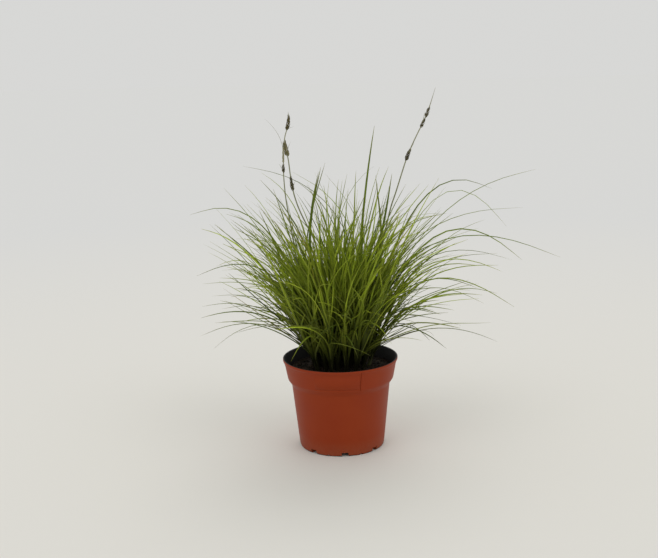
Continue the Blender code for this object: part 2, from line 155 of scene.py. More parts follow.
def mesh_from(bm, name, sharp_angle=SHARP_ANGLE):
    """Turn a bmesh into a smooth-shaded mesh whose edges over an angle stay sharp."""
    mesh = bpy.data.meshes.new(name)
    bm.to_mesh(mesh)
    bm.free()
    mesh.shade_smooth()
    mesh.set_sharp_from_angle(angle=math.radians(sharp_angle))
    return mesh


world = bpy.data.worlds.new("studio")
world.use_nodes = True
background = world.node_tree.nodes["Background"].inputs
background["Color"].default_value = linear("#f2f2f0")
background["Strength"].default_value = ROOM_LIGHT
bpy.context.scene.world = world
bpy.context.scene.view_settings.view_transform = "Standard"

# matt paper, without shine, with painted light near the pot: a little lighter and warmer there, standing in
# for the red light the pot throws back and lifting the clump's shade
paper, tree, out = start_material("white_paper")
place = add_node(tree, "TexCoord").outputs["Object"]
away = add_node(tree, "VectorMath", {0: place}, operation="LENGTH")
far = add_node(tree, "MapRange", {0: away.outputs["Value"], 1: PAINTED_LIGHT_NEAR, 2: PAINTED_LIGHT_FAR})
tone = add_node(tree, "Mix", {0: far.outputs[0], 6: "#dedcd6", 7: "#d8d8d7"}, data_type="RGBA")
surface = add_node(tree, "BsdfDiffuse", {"Color": tone.outputs[2]})
tree.links.new(surface.outputs["BSDF"], out.inputs["Surface"])
bm = bmesh.new()
bmesh.ops.create_grid(bm, x_segments=1, y_segments=1, size=FLOOR_HALF)
floor = add_piece("floor", mesh_from(bm, "floor"), paper)


def broad_lamp(name, azimuth, elevation, strength, spread):
    """A lamp so far off that its light is even, and so wide that its shadows are soft."""
    light = bpy.data.lights.new(name, "SUN")
    light.energy = strength
    light.angle = math.radians(spread)
    lamp = bpy.data.objects.new(name, light)
    a, e = math.radians(azimuth), math.radians(elevation)
    towards = Vector((math.cos(e) * math.cos(a), math.cos(e) * math.sin(a), math.sin(e)))
    lamp.rotation_euler = towards.to_track_quat("Z", "Y").to_euler()
    bpy.context.scene.collection.objects.link(lamp)


broad_lamp("lamp_left", -135, 50, 0.37, 35)
broad_lamp("lamp_right", -40, 45, 0.29, 35)
broad_lamp("lamp_back", 80, 52, 0.62, 45)


# Pot
# A nursery pot: one thin skin of polypropylene, terracotta outside and black inside, drawn down over
# a mould. The mould leaves a flared band with a raised label panel, a seam, a lip and a notched foot.
POT_HEIGHT = 89 * MM
RIM_RADIUS = 56.5 * MM
BAND_RADIUS = 52.4 * MM
SHOULDER_RADIUS = 48.4 * MM
FOOT_RADIUS = 42 * MM
BAND_FOOT = 70 * MM
SHOULDER = 63 * MM
WALL = 1.1 * MM
FLOOR_UNDERSIDE = 2.4 * MM
FOOT_RING = 36 * MM
PAD_RADIUS = 9 * MM
POT_SIDES = 360
DRAIN_COUNT = 8
DRAIN_TURN = 3
DRAIN_WIDTH = 6.5 * MM
DRAIN_HEIGHT = 3.9 * MM
VENT_WIDTH = 2.4 * MM
VENT_HEIGHT = 1.5 * MM
SLOT_LENGTH = 11 * MM
SLOT_BELOW = 2 * MM
FOOT_WAVE = 0.5 * MM
FOOT_WAVE_TOP = 6 * MM
LIP_STEP = 0.55 * MM
FILLET_STEPS = 4

# the label panel, the line under it and the seam beside it, with angles round the pot in degrees
PANEL_START, PANEL_END = -118, -72
PANEL_LOW, PANEL_HIGH = 69.8 * MM, 82 * MM
PANEL_RISE = 0.25 * MM
PANEL_EDGE = 0.4 * MM
PANEL_SIDE = 1.5
LINE_DEPTH = 0.4 * MM
LINE_WIDTH = 0.7 * MM
SEAM_ANGLE = -70
SEAM_HALF = 0.9
SEAM_DEPTH = 0.6 * MM
SEAM_DRAW, SEAM_REACH = 0.35, 1.5


def filleted(corners):
    """Round each corner of a profile, given as (radius, height, fillet), with a short arc."""
    points = []
    for i, (radius, height, fillet) in enumerate(corners):
        here = Vector((radius, height))
        if fillet == 0 or i in (0, len(corners) - 1):
            points.append(here)
            continue
        before = Vector(corners[i - 1][:2]) - here
        after = Vector(corners[i + 1][:2]) - here
        reach = min(fillet, before.length * 0.45, after.length * 0.45)
        first, last = here + before.normalized() * reach, here + after.normalized() * reach
        for step in range(FILLET_STEPS + 1):
            t = step / FILLET_STEPS
            points.append(first.lerp(here, t).lerp(here.lerp(last, t), t))
    return points


def band_radius(height):
    """The flared band's outer radius at a height."""
    share = (height - BAND_FOOT) / (POT_HEIGHT - BAND_FOOT)
    return BAND_RADIUS + share * (RIM_RADIUS - LIP_STEP - BAND_RADIUS)


underside = [
    (0, 0, 0),
    (PAD_RADIUS, 0, 0.4 * MM),
    (PAD_RADIUS + 0.7 * MM, FLOOR_UNDERSIDE, 0.4 * MM),
    (FOOT_RING - 0.7 * MM, FLOOR_UNDERSIDE, 0.4 * MM),
    (FOOT_RING, 0, 0.4 * MM),
]
body = [
    (FOOT_RADIUS - 0.6 * MM, 0, 0.5 * MM),
    (FOOT_RADIUS, 1.4 * MM, 1.5 * MM),
    (FOOT_RADIUS + 0.5 * MM, FOOT_WAVE_TOP, 0),
    (SHOULDER_RADIUS, SHOULDER, 1.6 * MM),
    (BAND_RADIUS - 0.5 * MM, BAND_FOOT - 1.8 * MM, 2.2 * MM),
]
panel_heights = (PANEL_LOW - LINE_WIDTH / 2, PANEL_LOW, PANEL_LOW + LINE_WIDTH / 2,
                 PANEL_HIGH - PANEL_EDGE / 2, PANEL_HIGH + PANEL_EDGE / 2)
panel_rows = [(band_radius(height), height, 0) for height in panel_heights]
lip = [
    (RIM_RADIUS - 0.75 * MM, POT_HEIGHT - 3.2 * MM, 0.6 * MM),
    (RIM_RADIUS, POT_HEIGHT - 2.3 * MM, 0.7 * MM),
    (RIM_RADIUS, POT_HEIGHT, 0.9 * MM),
]
inside = [
    (RIM_RADIUS - WALL - 0.3 * MM, POT_HEIGHT, 0.7 * MM),
    (BAND_RADIUS - WALL, BAND_FOOT + 1.0 * MM, 2 * MM),
    (SHOULDER_RADIUS - WALL, SHOULDER + 0.4 * MM, 2 * MM),
    (FOOT_RADIUS - WALL, FLOOR_UNDERSIDE + WALL, 1.6 * MM),
    (0, FLOOR_UNDERSIDE + WALL, 0),
]
pot_profile = filleted(underside + body + panel_rows + lip + inside)


def turned(points, sides):
    """A closed body turned round Z from a profile that starts and ends on the axis."""
    bm = bmesh.new()
    corners = [bm.verts.new((x, 0, z)) for x, z in points]
    edges = [bm.edges.new(pair) for pair in zip(corners, corners[1:])]
    bmesh.ops.spin(bm, geom=corners + edges, cent=(0, 0, 0), axis=(0, 0, 1), angle=2 * math.pi,
                   steps=sides, use_merge=True)
    bmesh.ops.remove_doubles(bm, verts=bm.verts, dist=0.01 * MM)
    bmesh.ops.recalc_face_normals(bm, faces=bm.faces)
    return bm


def step_up(value, edge, width):
    """0 below an edge and 1 above it, rising over a width."""
    return min(1, max(0, (value - edge) / width + 0.5))


def press_details(bm):
    """Raise the label panel above its line, press the seam in and lift the foot's edge at each slot.

    The points beside the seam are drawn towards it, which keeps it narrow and sharp.
    """
    for vert in bm.verts:
        reach, height = math.hypot(vert.co.x, vert.co.y), vert.co.z
        angle = math.degrees(math.atan2(vert.co.y, vert.co.x))
        if height > BAND_FOOT - 2 * MM and reach > band_radius(height) - 0.4 * MM:
            beside = step_up(angle, PANEL_START, PANEL_SIDE) * (1 - step_up(angle, PANEL_END, PANEL_SIDE))
            above = step_up(height, PANEL_LOW, PANEL_EDGE) * (1 - step_up(height, PANEL_HIGH, PANEL_EDGE))
            line = max(0, 1 - abs(height - PANEL_LOW) / (LINE_WIDTH / 2))
            off_seam = angle - SEAM_ANGLE
            below_lip = 1 - step_up(height, POT_HEIGHT - 2 * MM, 1 * MM)
            seam = max(0, 1 - abs(off_seam) / SEAM_HALF) * below_lip
            if abs(off_seam) < SEAM_REACH:
                angle = SEAM_ANGLE + SEAM_DRAW * off_seam
            reach += beside * (PANEL_RISE * above - LINE_DEPTH * line) - SEAM_DEPTH * seam
            turn = math.radians(angle)
            vert.co.x, vert.co.y = reach * math.cos(turn), reach * math.sin(turn)
        elif height < FOOT_WAVE_TOP and reach > FOOT_RADIUS - 0.8 * MM:
            wave = 0.5 + 0.5 * math.cos(math.radians(DRAIN_COUNT * (angle - DRAIN_TURN)))
            vert.co.z += FOOT_WAVE * wave * (1 - height / FOOT_WAVE_TOP)


def slot_cutters():
    """Blocks that cut the drain slots and, half way between them, the small vents."""
    bm = bmesh.new()
    for k in range(2 * DRAIN_COUNT):
        wide, high = (VENT_WIDTH, VENT_HEIGHT) if k % 2 else (DRAIN_WIDTH, DRAIN_HEIGHT)
        turn = Matrix.Rotation(math.radians(180 / DRAIN_COUNT * k + DRAIN_TURN), 4, "Z")
        shift = Matrix.Translation((FOOT_RADIUS - 1.5 * MM, 0, (high - SLOT_BELOW) / 2))
        block = turn @ shift @ Matrix.Diagonal((SLOT_LENGTH, wide, high + SLOT_BELOW, 1))
        bmesh.ops.create_cube(bm, size=1, matrix=block)
    return add_piece("slot_cutters", mesh_from(bm, "slot_cutters"))


# moulded polypropylene: satin, faintly cloudy, with fine scuffs and splashes dried on above the foot
CLOUD_SIZE = 35.7 * MM
SPECK_SIZE = 2.38 * MM
SPLASH_HEIGHT = 16 * MM
plastic, tree, out = start_material("terracotta_polypropylene")
place = add_node(tree, "TexCoord").outputs["Object"]
height = add_node(tree, "SeparateXYZ", {0: place}).outputs["Z"]
cloud = add_node(tree, "TexNoise", {"Vector": place, "Scale": 1 / CLOUD_SIZE, "Detail": 4.0})
speck = add_node(tree, "TexNoise", {"Vector": place, "Scale": 1 / SPECK_SIZE, "Detail": 3.0})
tone = add_node(tree, "Mix", {0: cloud.outputs["Fac"], 6: "#872c0a", 7: "#95380f"}, data_type="RGBA")
low = add_node(tree, "MapRange", {0: height, 2: SPLASH_HEIGHT, 3: 0.40, 4: 0.0})
dusty = add_node(tree, "Math", {0: low.outputs[0], 1: speck.outputs["Fac"]}, operation="MULTIPLY")
coat = add_node(tree, "Mix", {0: dusty.outputs[0], 6: tone.outputs[2], 7: "#8a6a52"}, data_type="RGBA")
rough = add_node(tree, "MapRange", {0: cloud.outputs["Fac"], 1: 0.3, 2: 0.7, 3: 0.42, 4: 0.54})
bump = add_node(tree, "Bump", {"Height": speck.outputs["Fac"], "Strength": 0.12, "Distance": 0.2 * MM})
surface = add_node(tree, "BsdfPrincipled", {
    "Base Color": coat.outputs[2], "Roughness": rough.outputs[0], "IOR": 1.49, "Specular IOR Level": 0.2,
    "Normal": bump.outputs["Normal"]})
tree.links.new(surface.outputs["BSDF"], out.inputs["Surface"])

# the same plastic in black, dull with dust from the compost
DUST_SIZE = 3.33 * MM
lining, tree, out = start_material("black_polypropylene")
place = add_node(tree, "TexCoord").outputs["Object"]
speck = add_node(tree, "TexNoise", {"Vector": place, "Scale": 1 / DUST_SIZE, "Detail": 3.0})
tone = add_node(tree, "Mix", {0: speck.outputs["Fac"], 6: "#0b0a09", 7: "#171512"}, data_type="RGBA")
surface = add_node(tree, "BsdfPrincipled", {
    "Base Color": tone.outputs[2], "Roughness": 0.6, "IOR": 1.49, "Specular IOR Level": 0.3})
tree.links.new(surface.outputs["BSDF"], out.inputs["Surface"])

bm = turned([tuple(point) for point in pot_profile], POT_SIDES)
for face in bm.faces:
    middle = face.calc_center_median()
    outward = face.normal.xy.dot(middle.xy.normalized())
    outer = outward > (0.75 if middle.z > POT_HEIGHT - 1 * MM else 0) and middle.z > 0.5 * MM
    face.material_index = 0 if outer else 1
press_details(bm)
pot = add_piece("pot_skin", mesh_from(bm, "pot_skin"), plastic, lining)
cutters = slot_cutters()
slots = pot.modifiers.new("slots", "BOOLEAN")
slots.operation = "DIFFERENCE"
slots.object = cutters
slotted = bpy.data.meshes.new_from_object(pot.evaluated_get(bpy.context.evaluated_depsgraph_get()))
pot.modifiers.clear()
pot.data = slotted
bpy.data.objects.remove(cutters)
slotted.set_sharp_from_angle(angle=math.radians(SHARP_ANGLE))
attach(pot, "root")
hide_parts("pot")


# Compost
# Damp peat, sieved and pressed in by hand, so its top is a crust of crumbs and short fibres.
# It is almost black, and only the crumbs' upper sides catch the light.
SOIL_TOP = 77 * MM
SOIL_FOOT = 4 * MM
SOIL_CROWN = 2.0 * MM
SOIL_RINGS = 60
SOIL_SIDES = 200
SOIL_SHARP_ANGLE = 60

# loose crumbs: radii (least, usual, most), stretch, flatness, unevenness, how far out and how high
CRUMBS = 1500
CRUMB_SIZES = (0.35 * MM, 0.6 * MM, 1.9 * MM)
CRUMB_STRETCHES = (0.7, 1.5)
CRUMB_FLATNESS = (0.5, 0.9)
CRUMB_ROUGHNESS = 0.12
CRUMB_REACH = 0.985
CRUMB_LIFT = 0.15
CRUMB_SEED = 21

# the crust's waves, clods and grains, each as (level in the noise, spread, height)
CRUST_LUMPS = ((0, 9 * MM, 0.9 * MM), (3, 2.6 * MM, 0.7 * MM), (7, 0.9 * MM, 0.35 * MM))


def soil_height(x, y):
    """The height of the crust, which is highest round the middle of the clump."""
    away = min(1, math.hypot(x, y) / (RIM_RADIUS - 4 * MM))
    smooth = SOIL_TOP + SOIL_CROWN * (1 - away * away) - 0.4 * MM
    return smooth + sum(noise.noise(Vector((x, y, level)) / spread) * height
                        for level, spread, height in CRUST_LUMPS)


soil_edge = BAND_RADIUS - WALL + 0.9 * MM
plug = [
    (0, SOIL_FOOT),
    (FOOT_RADIUS - WALL - 0.6 * MM, SOIL_FOOT),
    (SHOULDER_RADIUS - WALL - 0.5 * MM, SHOULDER),
    (BAND_RADIUS - WALL - 0.6 * MM, BAND_FOOT + 2 * MM),
]
top = [(soil_edge * (1 - n / SOIL_RINGS), SOIL_TOP) for n in range(SOIL_RINGS + 1)]
bm = turned(plug + top, SOIL_SIDES)
for vert in bm.verts:
    if vert.co.z > SOIL_TOP - 0.1 * MM:
        vert.co.z = soil_height(vert.co.x, vert.co.y)
crust = mesh_from(bm, "crust", SOIL_SHARP_ANGLE)
bm = bmesh.new()
bmesh.ops.create_icosphere(bm, subdivisions=1, radius=1)
ball = np.array([vert.co for vert in bm.verts])
ball_faces = np.array([[vert.index for vert in face.verts] for face in bm.faces])
bm.free()

crumb_dice = np.random.default_rng(CRUMB_SEED)
crumb_points, crumb_faces = [], []
for n in range(CRUMBS):
    reach = soil_edge * math.sqrt(crumb_dice.random()) * CRUMB_REACH
    angle = crumb_dice.uniform(0, 2 * math.pi)
    x, y = reach * math.cos(angle), reach * math.sin(angle)
    size = crumb_dice.triangular(*CRUMB_SIZES)
    stretch = np.array([crumb_dice.uniform(*CRUMB_STRETCHES), 1, crumb_dice.uniform(*CRUMB_FLATNESS)])
    spin = Matrix.Rotation(crumb_dice.uniform(0, 2 * math.pi), 3, Vector((*crumb_dice.random(2), 0.5)))
    lumpy = ball * stretch + crumb_dice.normal(0, CRUMB_ROUGHNESS, ball.shape)
    height = soil_height(x, y) + size * CRUMB_LIFT
    crumb_points.append(lumpy @ np.array(spin) * size + [x, y, height])
    crumb_faces.append(ball_faces + n * len(ball))
crumbs = bpy.data.meshes.new("crumbs")
crumbs.from_pydata(np.vstack(crumb_points).tolist(), [], np.vstack(crumb_faces).tolist())
bm = bmesh.new()
bm.from_mesh(crust)
bm.from_mesh(crumbs)

# damp peat: dull and nearly black, with browner specks where it has begun to dry
GRAIN_SIZE = 1.11 * MM
CLOD_SIZE = 6.25 * MM
peat, tree, out = start_material("damp_peat")
place = add_node(tree, "TexCoord").outputs["Object"]
grain = add_node(tree, "TexNoise", {"Vector": place, "Scale": 1 / GRAIN_SIZE, "Detail": 5.0})
clod = add_node(tree, "TexNoise", {"Vector": place, "Scale": 1 / CLOD_SIZE, "Detail": 2.0})
both = add_node(tree, "Math", {0: grain.outputs["Fac"], 1: clod.outputs["Fac"]}, operation="MULTIPLY")
pale = add_node(tree, "MapRange", {0: both.outputs[0], 1: 0.18, 2: 0.42})
tone = add_node(tree, "Mix", {0: pale.outputs[0], 6: "#1b1611", 7: "#3f3326"}, data_type="RGBA")
bump = add_node(tree, "Bump", {"Height": grain.outputs["Fac"], "Strength": 0.6, "Distance": 0.4 * MM})
surface = add_node(tree, "BsdfPrincipled", {
    "Base Color": tone.outputs[2], "Roughness": 0.92, "Specular IOR Level": 0.15,
    "Normal": bump.outputs["Normal"]})
tree.links.new(surface.outputs["BSDF"], out.inputs["Surface"])
compost = add_piece("compost_crust", mesh_from(bm, "compost_crust", SOIL_SHARP_ANGLE), peat)
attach(compost, "root")
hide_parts("soil")


# Shoots
# Each is a short sheath of rolled leaf bases, rooted in the compost, and its leaves: blades two
# millimetres wide, creased along the middle, that rise together and bow over under their own weight.
# The long ones stand where the photo shows them, and the rest follow one rule of growth.
SHOOT_COUNT = 36
CROWN_RADIUS = 28 * MM
GOLDEN_ANGLE = 137.508
OUTER_LEAN = 17.0
LEAVES_PER_SHOOT = 5
ROOTED = 4 * MM
SHEATH_LENGTH = 14 * MM
SHEATH_FOOT_RADIUS = 2.1 * MM
SHEATH_TOP_RADIUS = 1.7 * MM
COLLAR_RISE = 7 * MM
COLLAR_SPREAD = 2.5 * MM
LEAF_WIDTH = 2.1 * MM
LEAF_TAPER = (0.85, 1.0, 0.95, 0.8, 0.55, 0.2)
SHORT_LEAF_TAPER = (0.85, 1.0, 0.85, 0.6, 0.2)
CLEARANCE = 0.35 * MM
WITHIN_SHOOT = 0.72
TRIES = 400
SEED = 29
STEM_FOOT_RADIUS = 1.1 * MM

# how a short leaf grows, with its ranges as (least, most) or (least, most, usual): it splays from its
# shoot by up to LEAF_SPLAY degrees, and past its stiff share it turns aside by about LEAF_SCATTER degrees
# and droops. Its tip stays under a ceiling and within a reach of the pot's axis.
LEAF_SPLAY = 17
LEAF_LENGTHS = (105 * MM, 228 * MM, 163 * MM)
LEAF_STIFFNESS = (0.45, 0.7)
LEAF_SCATTER = 32
LEAF_DROOPS = (5, 92, 34)
LEAF_CEILING = 266 * MM
LEAF_REACH = 150 * MM
LEAF_RETRY = 0.996

# each long leaf as the bend it rises to and its tip, in millimetres
LONG_LEAVES = [
    ((72, 28, 303), (158, 56, 244)),
    ((92, 32, 328), (173, 60, 205)),
    ((74, 12, 253), (194, 20, 266)),
    ((25, -28, 230), (99, -50, 235)),
    ((37, 0, 236), (99, 0, 226)),
    ((30, 13, 242), (105, 20, 225)),
    ((49, 28, 238), (188, 50, 225)),
    ((64, -12, 263), (211, -20, 186)),
    ((90, 18, 276), (184, 30, 175)),
    ((73, 0, 220), (159, 0, 170)),
    ((62, -24, 232), (161, -42, 189)),
    ((70, -7, 216), (170, -10, 136)),
    ((72, -22, 159), (131, -40, 167)),
    ((95, 8, 172), (156, 10, 146)),
    ((66, 4, 194), (135, 8, 154)),
    ((78, -14, 166), (125, -24, 157)),
    ((83, -19, 131), (89, -30, 117)),
    ((66, 17, 186), (147, 30, 131)),
    ((66, 4, 145), (111, 10, 133)),
    ((28, 12, 143), (125, 20, 105)),
    ((47, -12, 110), (74, -20, 131)),
    ((62, 10, 138), (90, 18, 98)),
    ((27, 15, 251), (38, 20, 312)),
    ((-15, 20, 251), (37, 40, 274)),
    ((-58, 28, 270), (-148, 50, 226)),
    ((-26, 12, 179), (-88, 20, 240)),
    ((-78, 0, 180), (-123, 4, 223)),
    ((-47, 5, 223), (-107, 8, 232)),
    ((-73, 9, 211), (-119, 12, 180)),
    ((-58, -9, 194), (-111, -16, 181)),
    ((-66, -17, 185), (-114, -30, 228)),
    ((-16, 10, 209), (-74, 20, 263)),
    ((41, 38, 261), (-94, 70, 272)),
    ((-87, -12, 144), (-109, -20, 167)),
    ((-77, -26, 135), (-107, -40, 157)),
    ((-59, 18, 118), (-101, 30, 136)),
    ((-87, -6, 160), (-107, -12, 148)),
    ((-79, 2, 149), (-107, 0, 175)),
    ((-74, 11, 151), (-139, 20, 132)),
    ((-69, -32, 153), (-129, -60, 128)),
    ((-71, -16, 158), (-119, -30, 112)),
    ((-41, 27, 171), (-139, 50, 153)),
    ((-60, 32, 212), (-144, 60, 163)),
    ((-34, -4, 170), (-60, -10, 256)),
    ((-24, -62, 150), (-44, -96, 112)),
    ((54, 16, 200), (-10, 30, 264)),
    ((46, 31, 229), (-44, 60, 263)),
    ((-49, 3, 172), (-10, 0, 277)),
    ((-39, -7, 203), (-17, -10, 272)),
    ((-42, 7, 182), (-14, 10, 272)),
    ((22, 27, 226), (-40, 40, 259)),
    ((51, -8, 177), (38, -10, 267)),
    ((38, 11, 173), (54, 20, 267)),
    ((27, 4, 174), (46, 5, 246)),
    ((35, 20, 193), (54, 30, 251)),
    ((35, -11, 229), (53, -14, 248)),
    ((-12, -36, 168), (31, -50, 156)),
    ((6, -38, 160), (-37, -58, 131)),
    ((16, -42, 156), (-30, -64, 118)),
    ((20, -29, 136), (-17, -40, 148)),
    ((43, -30, 113), (69, -50, 135)),
    ((2, -62, 148), (14, -90, 112)),
    ((24, -50, 160), (44, -96, 126)),
]

# each flower stem's route, and its flower heads as (from, to, radius) up the stem, in millimetres
FLOWER_STEMS = {
    "flower_stem_right": (
        [(17, 8, 73), (30, 10, 140), (43, 9, 195), (52, 8, 234), (57, 8, 247), (65, 8, 272),
         (69.5, 8, 285), (77.5, 8, 302), (86.5, 8, 319), (91, 8, 331), (96, 8, 347)],
        [(278.5, 290.5, 1.9), (309.5, 318.4, 1.6), (319, 328.5, 1.7)]),
    "flower_stem_left": (
        [(-0.5, 8.5, 73), (-6, 7, 120), (-13, 5, 170), (-22, 4, 205), (-29, 3, 219), (-37, 2, 237),
         (-41.5, 2, 253), (-43.5, 2, 268), (-45, 2, 286), (-49, 2, 301), (-45, 2, 312),
         (-42.9, 2, 322), (-43.6, 2, 328)],
        [(253, 267.5, 1.7), (286, 301, 2.5), (310.5, 325.5, 1.8)]),
    "flower_stem_left_short": (
        [(-24, -2, 73), (-34, -3, 140), (-41, -4, 195), (-45.4, -4, 227), (-48.4, -4, 246),
         (-49.8, -4, 270), (-49.3, -4, 285), (-49.2, -4, 300)],
        [(271, 279, 1.5), (280.5, 295.5, 0.9)]),
}


def along(azimuth, elevation):
    """Unit vector at an angle round the pot and an angle above the level, both in degrees."""
    a, e = math.radians(azimuth), math.radians(elevation)
    return np.array([math.cos(e) * math.cos(a), math.cos(e) * math.sin(a), math.sin(e)])


def unit(vector):
    return vector / np.linalg.norm(vector)


def arch(foot, bend, tip, count):
    """Points on the smooth arch that leaves foot towards bend and ends at tip."""
    t = np.linspace(0, 1, count)[:, None]
    return (1 - t) ** 2 * foot + 2 * t * (1 - t) * bend + t * t * tip


def gaps_between(path, starts, ends):
    """Least distance between each stretch of the path and each of the other stretches."""
    p, d = path[:-1, None], (path[1:] - path[:-1])[:, None]
    q, g = starts[None], (ends - starts)[None]
    r = p - q
    dd, gg, dg = (d * d).sum(-1), (g * g).sum(-1), (d * g).sum(-1)
    dr, gr = (d * r).sum(-1), (g * r).sum(-1)
    s = np.clip((dg * gr - dr * gg) / np.maximum(dd * gg - dg * dg, 1e-18), 0, 1)
    t = np.clip((dg * s + gr) / gg, 0, 1)
    s = np.clip((dg * t - dr) / dd, 0, 1)
    apart = r + s[..., None] * d - t[..., None] * g
    return np.sqrt((apart * apart).sum(-1))


class Room:
    """The stretches of sheath, stem and leaf that already stand, with their half widths."""

    def __init__(self):
        self.starts = np.zeros((0, 3))
        self.ends = np.zeros((0, 3))
        self.halves = np.zeros(0)
        self.owners = np.zeros(0, int)
        self.nearness = np.zeros(0)

    def add(self, path, halves, owner, nearness):
        """nearness is the share of the usual distance that leaves of the same shoot keep to it."""
        count = len(path) - 1
        self.starts = np.vstack([self.starts, path[:-1]])
        self.ends = np.vstack([self.ends, path[1:]])
        self.halves = np.append(self.halves, np.maximum(halves[:-1], halves[1:]))
        self.owners = np.append(self.owners, np.full(count, owner))
        self.nearness = np.append(self.nearness, np.full(count, nearness))

    def fits(self, path, halves, owner):
        need = np.maximum(halves[:-1], halves[1:])[:, None] + self.halves[None] + CLEARANCE
        need = np.where(self.owners == owner, need * self.nearness, need)
        return bool((gaps_between(path, self.starts, self.ends) >= need).all())


def shoot_frames():
    """Each shoot's foot on the compost, its own axis, and two directions across it."""
    frames = []
    for i in range(SHOOT_COUNT):
        out = math.sqrt((i + 0.5) / SHOOT_COUNT)
        azimuth = i * GOLDEN_ANGLE
        foot = along(azimuth, 0) * CROWN_RADIUS * out + np.array([0, 0, SOIL_TOP])
        axis = along(azimuth, 90 - OUTER_LEAN * out ** 1.5)
        side = np.cross(np.array([0, 0, 1.0]), along(azimuth, 0))
        frames.append((foot, axis, np.cross(side, axis), side))
    return frames


def collars(frame, turn):
    """Where each leaf of a shoot leaves its sheath, and the way that it faces."""
    foot, axis, u, v = frame
    found = []
    for k in range(LEAVES_PER_SHOOT):
        angle = turn + 2 * math.pi * (k + 0.5) / LEAVES_PER_SHOOT
        face = math.cos(angle) * u + math.sin(angle) * v
        found.append((foot + axis * (SHEATH_LENGTH + COLLAR_RISE) + face * COLLAR_SPREAD, face))
    return found


def random_leaf(axis, collar, face, dice, shrink):
    """The bend and tip of a leaf that rises from its sheath and bows over outwards."""
    splay = math.radians(dice.uniform(0, LEAF_SPLAY))
    rise = axis * math.cos(splay) + face * math.sin(splay)
    length = dice.triangular(*LEAF_LENGTHS) * shrink
    share = dice.uniform(*LEAF_STIFFNESS)
    height = math.degrees(math.asin(rise[2]))
    azimuth = math.degrees(math.atan2(rise[1], rise[0])) + dice.gauss(0, LEAF_SCATTER)
    droop = dice.triangular(*LEAF_DROOPS)
    bend = collar + rise * length * share
    return bend, bend + along(azimuth, height - droop) * length * (1 - share)


def best_collars(bend, frames, spots, leaves):
    """The free collars that a long leaf could spring from, the likeliest first.

    It springs from a shoot about a third of the way out to its bend, on a side that faces the bend.
    """
    lean = (bend - np.array([0, 0, SOIL_TOP])) / 3
    want = lean / max(1.0, math.hypot(lean[0], lean[1]) / (CROWN_RADIUS * 0.85))
    ranked = []
    for i, row in enumerate(spots):
        for k, (collar, face) in enumerate(row):
            if leaves[i][k] is None:
                facing = float(unit(bend - collar) @ face)
                away = math.hypot(*(frames[i][0][:2] - want[:2])) / MM
                ranked.append((away - 6 * facing + 40 * max(0, -0.02 - facing), i, k))
    ranked.sort()
    return ranked[:24]


def place_long_leaf(bend, tip, frames, spots, leaves, room):
    """Give a long leaf the first free collar and the smallest shift in depth that keep it clear."""
    for _, i, k in best_collars(bend, frames, spots, leaves):
        for shift in (0, 6, -6, 12, -12, 18, -18):
            move = np.array([0, shift * MM, 0])
            path = arch(spots[i][k][0], bend + move, tip + move * 1.5, len(LEAF_TAPER))
            halves = np.array(LEAF_TAPER) * LEAF_WIDTH / 2
            if room.fits(path, halves, i):
                room.add(path, halves, i, WITHIN_SHOOT)
                leaves[i][k] = (bend + move, tip + move * 1.5, LEAF_TAPER)
                return


def grow_clump():
    """Frames, turns and leaves of all the shoots, with no leaf touching another."""
    dice = random.Random(SEED)
    frames = shoot_frames()
    turns = [dice.uniform(0, 2 * math.pi) for _ in frames]
    spots = [collars(frame, turn) for frame, turn in zip(frames, turns)]
    room = Room()
    for i, (foot, axis, u, v) in enumerate(frames):
        reach = (-ROOTED, SHEATH_LENGTH, SHEATH_LENGTH + COLLAR_RISE)
        sheath = np.array([foot + axis * distance for distance in reach])
        room.add(sheath, np.array([SHEATH_FOOT_RADIUS, SHEATH_FOOT_RADIUS, COLLAR_SPREAD]), i, 0)
    for n, (route, heads) in enumerate(FLOWER_STEMS.values()):
        room.add(np.array(route) * MM, np.full(len(route), STEM_FOOT_RADIUS * 1.6), -1 - n, 1)
    leaves = [[None] * LEAVES_PER_SHOOT for _ in frames]
    for bend, tip in LONG_LEAVES:
        place_long_leaf(np.array(bend) * MM, np.array(tip) * MM, frames, spots, leaves, room)
    halves = np.array(SHORT_LEAF_TAPER) * LEAF_WIDTH / 2
    for k in range(LEAVES_PER_SHOOT):
        for i, frame in enumerate(frames):
            if leaves[i][k] is None:
                collar, face = spots[i][k]
                for attempt in range(TRIES):
                    bend, tip = random_leaf(frame[1], collar, face, dice, LEAF_RETRY ** attempt)
                    path = arch(collar, bend, tip, len(SHORT_LEAF_TAPER))
                    inside = tip[2] < LEAF_CEILING and math.hypot(tip[0], tip[1]) < LEAF_REACH
                    if inside and room.fits(path, halves, i):
                        room.add(path, halves, i, WITHIN_SHOOT)
                        leaves[i][k] = (bend, tip, SHORT_LEAF_TAPER)
                        break
    return frames, turns, spots, leaves


# a blade's section, from edge to edge over the top and back underneath, as shares of its half width
BLADE_SECTION = np.array([(1.0, 0.10), (0.5, -0.16), (0.0, -0.36), (-0.5, -0.16), (-1.0, 0.10),
                          (-0.96, -0.02), (-0.48, -0.32), (0.0, -0.62), (0.48, -0.32), (0.96, -0.02)])
BLADE_RINGS = 18
SHEATH_RINGS = 7
SHEATH_SIDES = 15
RIB_DEPTH = 0.08
SHEATH_TONES = (0.1, 0.95)

# a blade's twist in radians, the waves of its sway, and its dryness: a few are old and straw-coloured
TWIST = 1.6
SWAY_WAVES = (0.6, 1.5)
OLD_SHARE = 0.012
OLD_DRYNESS = (0.6, 1)
FRESH_DRYNESS = (0, 0.15)

# a leaf's shape, as its share of the usual width and its slimness: the higher, the later it narrows.
# A long leaf is broad and dark if the sine of its upper slope is over ERECT.
ERECT = 0.85
ERECT_SHAPE = (1.35, 3.4)
LONG_SHAPE = (1.0, 2.0)
SHORT_SHAPE = (1.0, 2.6)

